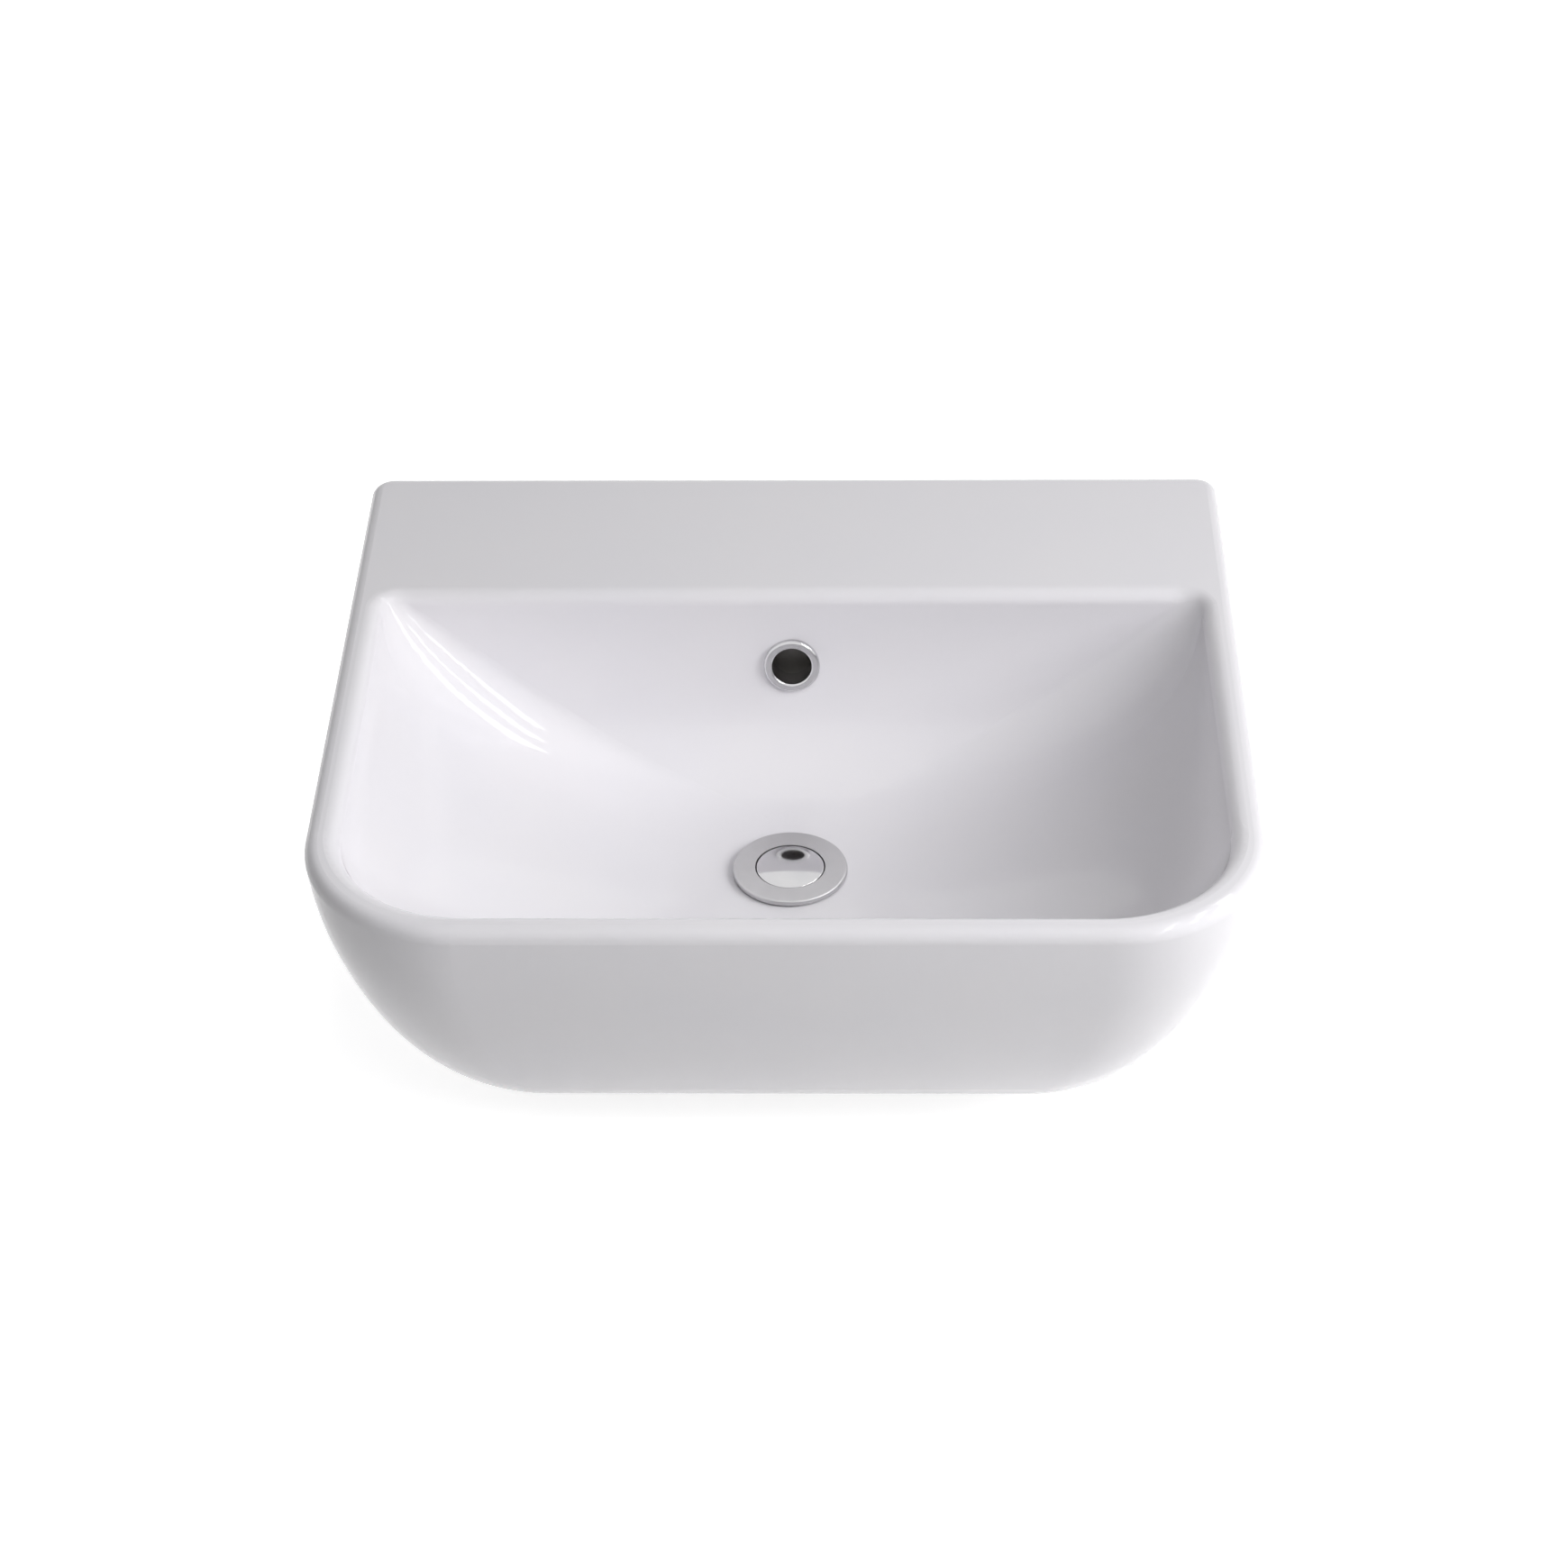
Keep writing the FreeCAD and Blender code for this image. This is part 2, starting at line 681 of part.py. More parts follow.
def build_plug():
    radius = size.plug_diameter / 2
    edge_level = flange_top
    underside = edge_level - size.plug_height
    groove_half = size.seal_section / 2 + size.seat_gap
    groove_middle = edge_level - size.plug_height / 2
    groove = well_radius - size.running_gap - size.seal_section - size.seat_gap
    inside = groove - size.plug_lip
    boss = size.plug_boss_diameter / 2
    thread = size.stem_thread / 2 + size.thread_gap
    roof = edge_level - size.plug_skin
    plug = waste_piece("plug_cap")
    revolve(plug, "cap", [
        (0, edge_level), (radius, edge_level), (radius, groove_middle + groove_half),
        (groove, groove_middle + groove_half), (groove, groove_middle - groove_half),
        (radius, groove_middle - groove_half), (radius, underside), (inside, underside), (inside, roof),
        (boss, roof), (boss, underside), (thread, underside), (thread, roof), (0, roof)])
    round_edges(plug, "cap_edge", size.plug_round, ring_edge(radius, edge_level))
    # The crown is a shallow cap of a large ball.
    rim = radius - size.plug_round
    ball = (rim * rim + size.plug_crown * size.plug_crown) / (2 * size.plug_crown)
    sketch = new_sketch(plug, "crown_profile", "XZ_Plane")
    top = edge_level + size.plug_crown
    centre = Vector(0, (top - ball).value, 0)
    start = math.atan2(edge_level.value - centre.y, rim.value)
    arc = Part.ArcOfCircle(Part.Circle(centre, Vector(0, 0, 1), ball.value), start, math.pi / 2)
    foot = Vector(0, edge_level.value, 0)
    rim_point = Vector(rim.value, edge_level.value, 0)
    axis = Part.LineSegment(Vector(0, top.value, 0), foot)
    sketch.addGeometry([arc, axis, Part.LineSegment(foot, rim_point)])
    for index in range(3):
        sketch.addConstraint(Sketcher.Constraint("Coincident", index, 2, (index + 1) % 3, 1))
    sketch.addConstraint(Sketcher.Constraint("PointOnObject", 0, 3, -2))
    place_point(sketch, 1, 1, 0, top)
    place_point(sketch, 2, 1, 0, edge_level)
    place_point(sketch, 0, 1, rim, edge_level)
    crown = new_feature(plug, "Revolution", "crown", sketch)
    crown.ReferenceAxis = (sketch, ["V_Axis"])
    crown.Angle = 360

    seal = waste_piece("plug_seal")
    section = new_sketch(seal, "seal_section", "XZ_Plane")
    draw_circle(section, size.seal_section / 2, well_radius - size.running_gap - size.seal_section / 2,
                groove_middle)
    turned = new_feature(seal, "Revolution", "seal", section)
    turned.ReferenceAxis = (section, ["V_Axis"])
    turned.Angle = 360

    hexagon_nut("plug_jam_nut", underside, size.jam_nut_height, size.jam_nut_width, thread)


build_plug()


# Click-clack cartridge. The plunger's drum has a zigzag track, and two balls in a ring that turns
# in the barrel run in it: one stroke turns the ring by a quarter.

stroke = size.open_lift + size.latch_overtravel
plug_underside = flange_top - size.plug_height
drum_top = -size.drum_drop
drum_bottom = drum_top - size.drum_length
drum_radius = size.drum_diameter / 2
drum_bore = drum_radius + size.running_gap
track_margin = (size.drum_length - stroke) / 2
ball_level = drum_top - track_margin - size.latch_overtravel
track_bottom = ball_level - size.open_lift
ring_radius = drum_bore + size.follower_wall
ring_top = ball_level + size.follower_height / 2
ring_bottom = ball_level - size.follower_height / 2
cap_top = -size.cartridge_drop
head_bottom = cap_top - size.cap_head_height
gland_bottom = cap_top - size.gland_length
ring_bore = ring_radius + size.running_gap
spring_floor = size.end_plug_height - size.barrel_bottom
stem_radius = size.stem_diameter / 2
wiper_level = cap_top - size.gland_length / 2
wiper_radius = stem_radius + size.running_gap / 2 + size.wiper_section / 2


def build_plunger():
    thread = size.stem_thread / 2
    guide = size.spring_diameter / 2 - size.spring_wire - size.running_gap
    guide_bottom = drum_bottom - size.spring_wire * 5
    shoulder = plug_underside - size.jam_nut_height
    # The lowest point of the track is at the angle that the ring reaches when the plug is up.
    stem = waste_piece("plug_stem", turn=90 * size.open_lift / stroke)
    stem_top = flange_top - size.plug_skin - size.running_gap
    revolve(stem, "plunger", [
        (0, stem_top), (thread, stem_top), (thread, shoulder), (stem_radius, shoulder),
        (stem_radius, drum_top), (drum_radius, drum_top),
        (drum_radius, drum_bottom), (guide, drum_bottom), (guide, guide_bottom), (0, guide_bottom)])
    section = new_sketch(stem, "track_section", "XZ_Plane")
    draw_circle(section, size.track_radius, drum_radius, track_bottom)
    tracks = []
    for name, left in (("fall", True), ("rise", False)):
        track = new_feature(stem, "SubtractiveHelix", f"track_{name}", section)
        track.ReferenceAxis = (section, ["V_Axis"])
        track.Mode = 0
        bind(track, "Pitch", 4 * stroke)
        bind(track, "Height", stroke)
        track.LeftHanded = left
        tracks.append(track)
    repeat_round(stem, "zigzag", tracks, 2)

    ring = waste_piece("follower_ring")
    revolve(ring, "ring", [(drum_bore, ring_top), (ring_radius, ring_top), (ring_radius, ring_bottom),
                           (drum_bore, ring_bottom)])
    holes = new_sketch(ring, "ball_holes_outline", "YZ_Plane")
    draw_circle(holes, size.ball_diameter / 2 + size.seat_gap, y=ball_level)
    extrude(ring, "Pocket", "ball_holes", holes, 4 * ring_radius, midplane=True)

    balls = []
    for hand in (1, -1):
        ball = doc.addObject("Part::Sphere", "ball")
        bind(ball, "Radius", size.ball_diameter / 2)
        bind(ball, "Placement.Base.x", hand * drum_radius)
        bind(ball, "Placement.Base.y", -size.outlet_from_wall)
        bind(ball, "Placement.Base.z", floor_level + ball_level)
        balls.append(ball)
    pair = doc.addObject("Part::Compound", "follower_balls")
    pair.Label = "follower_balls"
    pair.Links = balls
    return pair


def build_cartridge():
    outer = size.barrel_diameter / 2
    collar = size.barrel_collar / 2
    collar_bottom = -size.spider_drop
    lower_bore = drum_bore
    barrel = waste_piece("cartridge_barrel")
    revolve(barrel, "barrel", [
        (ring_bore, head_bottom), (outer, head_bottom), (outer, collar_bottom + size.barrel_collar_height),
        (collar, collar_bottom + size.barrel_collar_height), (collar, collar_bottom), (outer, collar_bottom),
        (outer, -size.barrel_bottom), (lower_bore, -size.barrel_bottom),
        (lower_bore, ring_bottom - size.seat_gap), (ring_bore, ring_bottom - size.seat_gap)])

    screwed = ring_bore - size.thread_gap
    head = size.cap_head_diameter / 2
    gland = stem_radius + size.running_gap
    groove = wiper_radius + size.wiper_section / 2 + size.seat_gap
    groove_half = size.wiper_section / 2 + size.seat_gap
    cap = waste_piece("cartridge_cap")
    revolve(cap, "cap", [
        (gland, cap_top), (head, cap_top), (head, head_bottom), (screwed, head_bottom),
        (screwed, ring_top + size.seat_gap), (drum_bore, ring_top + size.seat_gap), (drum_bore, gland_bottom),
        (gland, gland_bottom), (gland, wiper_level - groove_half), (groove, wiper_level - groove_half),
        (groove, wiper_level + groove_half), (gland, wiper_level + groove_half)])

    wiper = waste_piece("stem_wiper")
    section = new_sketch(wiper, "wiper_section", "XZ_Plane")
    draw_circle(section, size.wiper_section / 2, wiper_radius, wiper_level)
    turned = new_feature(wiper, "Revolution", "wiper", section)
    turned.ReferenceAxis = (section, ["V_Axis"])
    turned.Angle = 360

    end = waste_piece("cartridge_end")
    end_bottom = -size.barrel_bottom - size.end_plug_head
    revolve(end, "plug", [
        (0, spring_floor), (lower_bore - size.thread_gap, spring_floor),
        (lower_bore - size.thread_gap, -size.barrel_bottom), (outer, -size.barrel_bottom),
        (outer, end_bottom), (0, end_bottom)])

    hexagon_nut("cartridge_locknut", -size.spider_drop - size.spider_height, size.locknut_height,
                size.locknut_width, outer + size.thread_gap)


def coil_arcs(radius, pitch, turns):
    """A rising coil as two tangent arcs to each quarter turn."""
    def point(angle):
        return Vector(radius * math.cos(angle), radius * math.sin(angle), pitch * angle / (2 * math.pi))

    def heading(angle):
        way = Vector(-radius * math.sin(angle), radius * math.cos(angle), pitch / (2 * math.pi))
        return way.normalize()

    def arc(start, apex, end):
        middle = (start + end) / 2
        half_chord = (end - start).Length / 2
        rise = apex - middle
        bend = math.atan2(rise.Length, half_chord)
        return Part.Arc(start, middle + rise.normalize() * half_chord * math.tan(bend / 2), end).toShape()

    arcs = []
    for quarter in range(round(4 * turns)):
        angles = quarter * math.pi / 2, (quarter + 1) * math.pi / 2
        start, end = map(point, angles)
        leaving, arriving = map(heading, angles)
        span = end - start
        along = span.dot(leaving + arriving)
        spread = 2 * (1 - leaving.dot(arriving))
        reach = (math.sqrt(along ** 2 + spread * span.dot(span)) - along) / spread
        first_apex = start + leaving * reach
        second_apex = end - arriving * reach
        joint = (first_apex + second_apex) / 2
        arcs += [arc(start, first_apex, joint), arc(joint, second_apex, end)]
    return arcs, heading(0)


def build_spring():
    wire = size.spring_wire / 2
    coil = size.spring_diameter / 2 - wire
    length = drum_bottom - spring_floor - size.spring_wire - 2 * size.seat_gap
    arcs, heading = coil_arcs(coil.value, length.value / size.spring_turns.value, size.spring_turns.value)
    section = Part.Wire(Part.makeCircle(wire.value, Vector(coil.value, 0, 0), heading))
    spring = doc.addObject("Part::Feature", "return_spring")
    spring.Label = "return_spring"
    spring.Shape = Part.Wire(arcs).makePipeShell([section], True, False)
    bottom = floor_level + spring_floor + wire + size.seat_gap
    spring.Placement = Placement(Vector(0, -size.outlet_from_wall.value, bottom.value), Rotation())
    return spring


follower_balls = build_plunger()
build_cartridge()
return_spring = build_spring()


# Seals and nut that hold the waste from below

def build_clamping():
    bore = tail_radius + size.thread_gap
    neck = size.outlet_bore / 2 - size.running_gap
    seal_rim = size.tail_seal_diameter / 2
    washer_rim = size.slip_washer_diameter / 2
    seal = waste_piece("tail_seal")
    revolve(seal, "seal", [
        (bore, size.tail_seal_neck - boss_drop), (neck, size.tail_seal_neck - boss_drop), (neck, -boss_drop),
        (seal_rim, -boss_drop), (seal_rim, tail_seal_bottom), (bore, tail_seal_bottom)])
    washer = waste_piece("slip_washer")
    revolve(washer, "washer", [(bore, tail_seal_bottom), (washer_rim, tail_seal_bottom),
                               (washer_rim, slip_washer_bottom), (bore, slip_washer_bottom)])
    hexagon_nut("backnut", slip_washer_bottom, size.backnut_height, size.backnut_width, bore)


build_clamping()


# Checks and files

doc.recompute()
for item in doc.Objects:
    if {"Invalid", "Error"} & set(item.State):
        raise RuntimeError(f"{item.Label} failed: {item.State}")
pieces = [item for item in doc.Objects if item.TypeId == "PartDesign::Body"] + [follower_balls, return_spring]
for piece in pieces:
    if piece.Shape.isNull() or not piece.Shape.isValid():
        raise RuntimeError(f"{piece.Label} has no valid shape")
os.makedirs("parts", exist_ok=True)
for piece in pieces:
    piece.Shape.exportStep(f"parts/{piece.Label}.step")
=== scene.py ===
import math

import bmesh
import bpy
from mathutils import Matrix, Vector


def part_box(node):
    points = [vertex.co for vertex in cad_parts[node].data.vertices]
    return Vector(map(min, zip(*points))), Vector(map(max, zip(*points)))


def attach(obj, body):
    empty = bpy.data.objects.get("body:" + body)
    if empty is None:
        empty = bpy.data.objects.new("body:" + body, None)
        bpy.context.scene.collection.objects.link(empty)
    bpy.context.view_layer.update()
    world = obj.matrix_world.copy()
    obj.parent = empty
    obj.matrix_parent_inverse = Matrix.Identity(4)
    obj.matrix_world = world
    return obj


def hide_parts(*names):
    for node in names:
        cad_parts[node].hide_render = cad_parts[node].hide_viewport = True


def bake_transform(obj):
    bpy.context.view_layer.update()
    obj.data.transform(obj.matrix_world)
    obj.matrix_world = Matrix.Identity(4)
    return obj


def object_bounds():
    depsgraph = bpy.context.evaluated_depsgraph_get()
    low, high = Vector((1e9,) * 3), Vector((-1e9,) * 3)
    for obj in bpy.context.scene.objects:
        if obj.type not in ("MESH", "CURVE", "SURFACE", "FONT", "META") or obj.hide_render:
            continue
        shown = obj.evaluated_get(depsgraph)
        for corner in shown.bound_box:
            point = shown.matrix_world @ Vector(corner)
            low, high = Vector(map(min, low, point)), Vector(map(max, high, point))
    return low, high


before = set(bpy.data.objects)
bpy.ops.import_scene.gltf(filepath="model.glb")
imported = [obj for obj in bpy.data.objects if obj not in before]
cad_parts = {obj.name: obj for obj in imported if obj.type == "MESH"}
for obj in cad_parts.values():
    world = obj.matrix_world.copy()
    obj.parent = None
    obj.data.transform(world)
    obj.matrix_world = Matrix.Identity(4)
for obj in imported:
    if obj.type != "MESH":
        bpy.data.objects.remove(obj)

cad_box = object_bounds()


# Ceramic basin: vitreous china, slip-cast in one piece with its overflow passage, sprayed with white
# glaze and fired glossy. The back is ground flat for the wall. The seat, the foot and the passage
# take no glaze and stay bare clay. Inside the passage the clay is painted dark grey as painted shade.

def add_node(tree, kind, settings=None, **sockets):
    """A node with its settings, and its inputs set to numbers or linked to other nodes' outputs."""
    node = tree.nodes.new(kind)
    for key, value in (settings or {}).items():
        setattr(node, key, value)
    for key, value in sockets.items():
        numbered = key.startswith("in") and key[2:].isdigit()
        socket = node.inputs[int(key[2:])] if numbered else node.inputs[key.replace("_", " ")]
        if isinstance(value, bpy.types.NodeSocket):
            tree.links.new(value, socket)
        else:
            socket.default_value = value
    return node


def math_node(tree, operation, *values):
    """The result of a Math node on numbers or outputs."""
    inputs = {f"in{index}": value for index, value in enumerate(values)}
    return add_node(tree, "ShaderNodeMath", {"operation": operation}, **inputs).outputs[0]


def blend_colours(tree, amount, first, second):
    """Two colours mixed by an amount from 0 to 1."""
    mix = tree.nodes.new("ShaderNodeMix")
    mix.data_type = "RGBA"
    # For colours the node takes its amount at input 0 and its colours at 6 and 7, and gives output 2.
    for index, value in ((0, amount), (6, first), (7, second)):
        if isinstance(value, bpy.types.NodeSocket):
            tree.links.new(value, mix.inputs[index])
        else:
            mix.inputs[index].default_value = value if index == 0 else (*value, 1)
    return mix.outputs[2]


def new_group(name, inputs, outputs):
    """An empty shader group with its inputs, a vector and some numbers, and its outputs by type."""
    group = bpy.data.node_groups.new(name, "ShaderNodeTree")
    group.interface.new_socket("Place", in_out="INPUT", socket_type="NodeSocketVector")
    for label, value in inputs.items():
        socket = group.interface.new_socket(label, in_out="INPUT", socket_type="NodeSocketFloat")
        socket.default_value = value
    for label, kind in outputs.items():
        group.interface.new_socket(label, in_out="OUTPUT", socket_type=kind)
    return group, group.nodes.new("NodeGroupInput").outputs, group.nodes.new("NodeGroupOutput").inputs


def use_group(tree, group, place, **values):
    """The outputs of a group that is placed in a tree with its own values."""
    node = add_node(tree, "ShaderNodeGroup", {"node_tree": group}, **values)
    tree.links.new(place, node.inputs["Place"])
    return node.outputs


def new_material(name, colour):
    """A node material: its tree, its Principled shader and the piece's own coordinates."""
    material = bpy.data.materials.new(name)
    material.use_nodes = True
    material.diffuse_color = (*colour, 1)
    tree = material.node_tree
    shader = tree.nodes["Principled BSDF"]
    place = tree.nodes.new("ShaderNodeTexCoord").outputs
    return material, tree, shader, place


def lay_finish(tree, shader, colour, roughness, relief):
    """Links a finish's colour, roughness and relief to its shader."""
    for label, value in (("Base Color", colour), ("Roughness", roughness), ("Normal", relief)):
        tree.links.new(value, shader.inputs[label])


def dress(material, *names):
    """Gives the named pieces of the frame one material."""
    for name in names:
        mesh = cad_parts[name].data
        mesh.materials.clear()
        mesh.materials.append(material)


# Fine grain is shared by every finish: a cloudy patch of tone, an uneven gloss and a slight relief.
cloud_low, cloud_high = 0.32, 0.68
cloud_share = 0.6
fine_grain, given, gives = new_group(
    "fine_grain",
    {"Cloud Scale": 20.0, "Grain Scale": 300.0, "Least Rough": 0.2, "Most Rough": 0.3, "Relief": 1e-5},
    {"Cloud": "NodeSocketFloat", "Roughness": "NodeSocketFloat", "Normal": "NodeSocketVector"})
tree = fine_grain
cloud = add_node(tree, "ShaderNodeTexNoise", Vector=given["Place"], Scale=given["Cloud Scale"], Detail=4.0)
grain = add_node(tree, "ShaderNodeTexNoise", Vector=given["Place"], Scale=given["Grain Scale"], Detail=3.0)
patches = add_node(tree, "ShaderNodeMapRange", Value=cloud.outputs[0], From_Min=cloud_low,
                   From_Max=cloud_high)
gloss = math_node(tree, "ADD", math_node(tree, "MULTIPLY", patches.outputs[0], cloud_share),
                  math_node(tree, "MULTIPLY", grain.outputs[0], 1 - cloud_share))
rough = add_node(tree, "ShaderNodeMapRange", Value=gloss, To_Min=given["Least Rough"],
                 To_Max=given["Most Rough"])
relief = add_node(tree, "ShaderNodeBump", Height=grain.outputs[0], Distance=given["Relief"])
tree.links.new(patches.outputs[0], gives["Cloud"])
tree.links.new(rough.outputs[0], gives["Roughness"])
tree.links.new(relief.outputs[0], gives["Normal"])

glaze_white = (0.873, 0.857, 0.887)
glaze_pooled = (0.861, 0.848, 0.885)
bare_clay = (0.80, 0.77, 0.715)
clay_speck = (0.69, 0.65, 0.585)
# Painted shade: a dark grey that stands for the shade inside the overflow passage, whose bare clay is as pale
# as the foot's.
painted_passage_shade = (0.42, 0.405, 0.385)
foot_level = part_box("basin_body")[0].z
wall_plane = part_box("basin_body")[1].y
ring_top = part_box("overflow_ring")[1].z
passage_half = 0.0165
passage_front, passage_back = -0.1195, -0.1045
ground_edge = 0.0004
flat_down = -0.97
speck_scale = 900.0
speck_start, speck_full = 0.52, 0.7
clay_rough = 0.8
glaze_ior = 1.52

glaze, tree, shader, place = new_material("white_glaze", glaze_white)
grain = use_group(tree, fine_grain, place["Object"], Cloud_Scale=14.0, Grain_Scale=130.0,
                  Least_Rough=0.018, Most_Rough=0.045, Relief=6e-6)
spot = add_node(tree, "ShaderNodeSeparateXYZ", in0=place["Object"]).outputs
facing = add_node(tree, "ShaderNodeSeparateXYZ", in0=place["Normal"]).outputs
at_wall = math_node(tree, "GREATER_THAN", spot[1], wall_plane - ground_edge)
looks_down = math_node(tree, "LESS_THAN", facing[2], flat_down)
on_seat = math_node(tree, "MULTIPLY", looks_down, math_node(tree, "COMPARE", spot[2], 0.0, ground_edge))
on_foot = math_node(tree, "LESS_THAN", spot[2], foot_level + ground_edge)
bare = math_node(tree, "MAXIMUM", at_wall, math_node(tree, "MAXIMUM", on_seat, on_foot))
# The overflow passage behind the ring takes the bare clay's roughness and the painted shade's grey.
across = math_node(tree, "LESS_THAN", math_node(tree, "ABSOLUTE", spot[0]), passage_half)
behind = math_node(tree, "MULTIPLY", math_node(tree, "GREATER_THAN", spot[1], passage_front),
                   math_node(tree, "LESS_THAN", spot[1], passage_back))
below_ring = math_node(tree, "LESS_THAN", spot[2], ring_top)
in_passage = math_node(tree, "MULTIPLY", below_ring, math_node(tree, "MULTIPLY", across, behind))
specks = add_node(tree, "ShaderNodeTexNoise", Vector=place["Object"], Scale=speck_scale, Detail=2.0)
speckled = add_node(tree, "ShaderNodeMapRange", Value=specks.outputs[0], From_Min=speck_start,
                    From_Max=speck_full)
coat = blend_colours(tree, grain["Cloud"], glaze_white, glaze_pooled)
clay = blend_colours(tree, speckled.outputs[0], bare_clay, clay_speck)
# Inside the passage the painted shade grey takes the place of the glaze and the clay colours.
colour = blend_colours(tree, in_passage, blend_colours(tree, bare, coat, clay), painted_passage_shade)
dull = math_node(tree, "MAXIMUM", bare, in_passage)
rough = math_node(tree, "MAXIMUM", grain["Roughness"], math_node(tree, "MULTIPLY", dull, clay_rough))
lay_finish(tree, shader, colour, rough, grain["Normal"])
shader.inputs["IOR"].default_value = glaze_ior
dress(glaze, "basin_body")


# Overflow ring: turned brass, polished and chrome plated. Its thin sleeve goes into the ceramic hole
# and grips by a moulded rubber collar behind the ring.

def grained_finish(name, tone, clouded, metallic, **grain_values):
    """A finish whose tone clouds over in patches, with the gloss and relief of the fine grain."""
    material, tree, shader, place = new_material(name, tone)
    grain = use_group(tree, fine_grain, place["Object"], **grain_values)
    colour = blend_colours(tree, grain["Cloud"], tone, clouded)
    lay_finish(tree, shader, colour, grain["Roughness"], grain["Normal"])
    shader.inputs["Metallic"].default_value = metallic
    return material


chrome_tone = (0.68, 0.675, 0.685)
chrome_hazed = (0.645, 0.642, 0.655)
chrome = grained_finish("bright_chrome", chrome_tone, chrome_hazed, metallic=1,
                        Cloud_Scale=70.0, Grain_Scale=900.0,
                        Least_Rough=0.035, Most_Rough=0.1, Relief=1e-6)
dress(chrome, "overflow_ring")

rubber_black = (0.022, 0.022, 0.023)
rubber_bloom = (0.05, 0.05, 0.051)
rubber = grained_finish("black_rubber", rubber_black, rubber_bloom, metallic=0,
                        Cloud_Scale=120.0, Grain_Scale=1500.0,
                        Least_Rough=0.48, Most_Rough=0.72, Relief=2.5e-5)
dress(rubber, "overflow_seal")


# Waste body: a brass casting, turned and plated in satin chrome, with a flange in the bowl, overflow
# slots in its tail and a pipe thread below the nut. It is dropped in from above and drawn down by the
# backnut.

satin_tone = (0.60, 0.592, 0.602)
satin_worn = (0.565, 0.558, 0.57)
satin = grained_finish("satin_chrome", satin_tone, satin_worn, metallic=1,
                       Cloud_Scale=60.0, Grain_Scale=1100.0,
                       Least_Rough=0.3, Most_Rough=0.42, Relief=2e-6)

waste_low, waste_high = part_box("waste_body")
axis = Vector(((waste_low.x + waste_high.x) / 2, (waste_low.y + waste_high.y) / 2, 0))
thread_pitch = 0.002309
thread_depth = 0.00142
thread_crest = 0.0209
thread_root = thread_crest - thread_depth
thread_top = -0.1167
thread_runout = 0.0012
thread_bottom = waste_low.z + thread_runout
thread_steps = 72
tail_skin = 0.0205
merge_gap = 1e-6
casting_crease = math.radians(32)

winding = bpy.data.node_groups.new("wound_thread", "GeometryNodeTree")
for label, kind in (("Turns", "Float"), ("Pitch", "Float"), ("Root", "Float"), ("Depth", "Float"),
                    ("Foot", "Vector"), ("Finish", "Material")):
    winding.interface.new_socket(label, in_out="INPUT", socket_type=f"NodeSocket{kind}")
winding.interface.new_socket("Geometry", in_out="OUTPUT", socket_type="NodeSocketGeometry")
sizes = winding.nodes.new("NodeGroupInput").outputs
height = math_node(winding, "MULTIPLY", sizes["Turns"], sizes["Pitch"])
helix = add_node(winding, "GeometryNodeCurveSpiral", Resolution=thread_steps, Rotations=sizes["Turns"],
                 Start_Radius=sizes["Root"], End_Radius=sizes["Root"], Height=height)
upright = add_node(winding, "GeometryNodeSetCurveNormal", {"mode": "Z_UP"}, Curve=helix.outputs[0])
# A triangle's height is one and a half times the radius of the circle through its corners.
reach = math_node(winding, "DIVIDE", sizes["Depth"], 1.5)
ridge = add_node(winding, "GeometryNodeCurvePrimitiveCircle", Resolution=3, Radius=reach)
swept = add_node(winding, "GeometryNodeCurveToMesh", Curve=upright.outputs[0], Profile_Curve=ridge.outputs[0],
                 Fill_Caps=True)
moved = add_node(winding, "GeometryNodeTransform", Geometry=swept.outputs[0], Translation=sizes["Foot"])
real = add_node(winding, "GeometryNodeRealizeInstances", Geometry=moved.outputs[0])
coated = add_node(winding, "GeometryNodeSetMaterial", Geometry=real.outputs[0], Material=sizes["Finish"])
winding.links.new(coated.outputs[0], winding.nodes.new("NodeGroupOutput").inputs[0])


def grow(name, tree, values):
    """The plain mesh that a Geometry Nodes tree gives for its named inputs."""
    holder = bpy.data.objects.new(name, bpy.data.meshes.new(name))
    bpy.context.scene.collection.objects.link(holder)
    modifier = holder.modifiers.new(name, "NODES")
    modifier.node_group = tree
    for item in tree.interface.items_tree:
        if item.in_out == "INPUT":
            modifier[item.identifier] = values[item.name]
    evaluated = holder.evaluated_get(bpy.context.evaluated_depsgraph_get())
    mesh = bpy.data.meshes.new_from_object(evaluated)
    bpy.data.objects.remove(holder)
    return mesh


def add_piece(name, mesh):
    """A new object with this mesh, at the origin of the scene."""
    piece = bpy.data.objects.new(name, mesh)
    bpy.context.scene.collection.objects.link(piece)
    return piece


thread = grow("thread", winding, {
    "Turns": (thread_top - thread_bottom - thread_depth) / thread_pitch,
    "Pitch": thread_pitch,
    "Root": thread_root,
    "Depth": thread_depth,
    "Foot": axis + Vector((0, 0, thread_bottom)),
    "Finish": satin,
})

